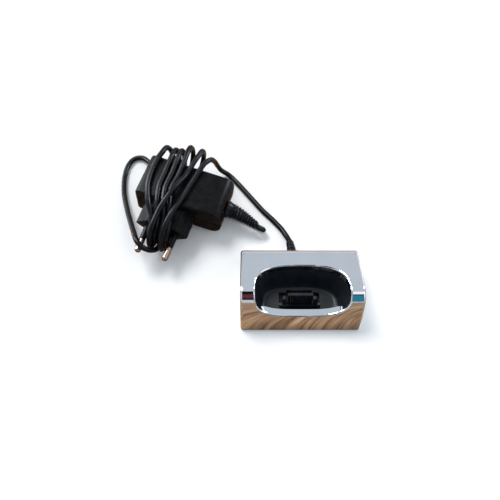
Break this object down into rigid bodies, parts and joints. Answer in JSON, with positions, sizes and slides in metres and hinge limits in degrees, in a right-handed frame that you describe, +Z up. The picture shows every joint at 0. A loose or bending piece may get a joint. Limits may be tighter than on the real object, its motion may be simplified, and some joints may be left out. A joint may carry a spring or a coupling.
{
  "type": "desk charging cradle",
  "caption": "Chromed desk charging cradle with a black phone well and tilting connector, on a lead wound round a two-pin wall power supply.",
  "frame": {"origin": "middle of the cradle's footprint, on the surface that its feet stand on", "axes": "+X to the cradle's right along its length, +Y to its back where the lead leaves, +Z up"},
  "size_m": [0.1587, 0.1359, 0.0388],
  "materials": {
    "chrome_plate": "polished chrome plate on plastic",
    "bowl_plastic": "fine satin moulding",
    "plate_plastic": "matte moulding",
    "foot_rubber": "matte rubber",
    "steel": "plain zinc-plated steel",
    "gold_contact": "gold-plated spring contact",
    "board": "green solder mask",
    "white_plastic": "off-white nylon",
    "supply_plastic": "fine-textured black moulding",
    "lead_pvc": "soft black PVC",
    "pin_nickel": "nickel-plated brass, slightly warm",
    "ferrite": "dark wound component"
  },
  "bodies": {
    "root": {"ballast_weight": "steel", "base_boot": "lead_pvc", "base_plate": "plate_plastic", "base_screw_back_left": "steel", "base_screw_back_right": "steel", "base_screw_front_left": "steel", "base_screw_front_right": "steel", "board_screw_left": "steel", "board_screw_right": "steel", "board_terminal": "white_plastic", "centring_spring": "steel", "chrome_shell": "chrome_plate", "circuit_board": "board", "cradle_bowl": "bowl_plastic", "foot_back_left": "foot_rubber", "foot_back_right": "foot_rubber", "foot_front_left": "foot_rubber", "foot_front_right": "foot_rubber", "inner_lead": "lead_pvc", "lead_loose_loop": "lead_pvc", "lead_run": "lead_pvc", "lead_tail": "lead_pvc", "lead_winding": "lead_pvc", "mains_capacitor": "ferrite", "pin_left": "pin_nickel", "pin_right": "pin_nickel", "pin_sleeve_left": "supply_plastic", "pin_sleeve_right": "supply_plastic", "plug_block": "supply_plastic", "supply_board": "board", "supply_boot": "lead_pvc", "supply_lower_case": "supply_plastic", "supply_upper_case": "supply_plastic", "tilt_axle": "steel", "transformer": "ferrite"},
    "connector": {"connector_carrier": "bowl_plastic", "connector_plug": "bowl_plastic"},
    "left_contact": {"contact_left": "gold_contact"},
    "right_contact": {"contact_right": "gold_contact"},
    "left_latch": {"latch_left": "bowl_plastic"},
    "right_latch": {"latch_right": "bowl_plastic"}
  },
  "joints": [
    {"name": "connector_tilt", "type": "hinge", "parent": "root", "child": "connector", "pos_m": [0, -0.0102, 0.0049], "axis": [1, 0, 0], "range_deg": [-4, 4], "stiffness_Nm_per_rad": 0.05},
    {"name": "left_contact_press", "type": "slide", "parent": "connector", "child": "left_contact", "axis": [0, 0.9781, -0.2079], "range_m": [0, 0.0002], "stiffness_N_per_m": 150},
    {"name": "right_contact_press", "type": "slide", "parent": "connector", "child": "right_contact", "axis": [0, 0.9781, -0.2079], "range_m": [0, 0.0002], "stiffness_N_per_m": 150},
    {"name": "left_latch_flex", "type": "hinge", "parent": "connector", "child": "left_latch", "pos_m": [-0.0093, -0.00974, 0.00705], "axis": [0, 0.9781, -0.2079], "range_deg": [0, 5], "stiffness_Nm_per_rad": 0.02},
    {"name": "right_latch_flex", "type": "hinge", "parent": "connector", "child": "right_latch", "pos_m": [0.0093, -0.00974, 0.00705], "axis": [0, -0.9781, 0.2079], "range_deg": [0, 5], "stiffness_Nm_per_rad": 0.02}
  ]
}
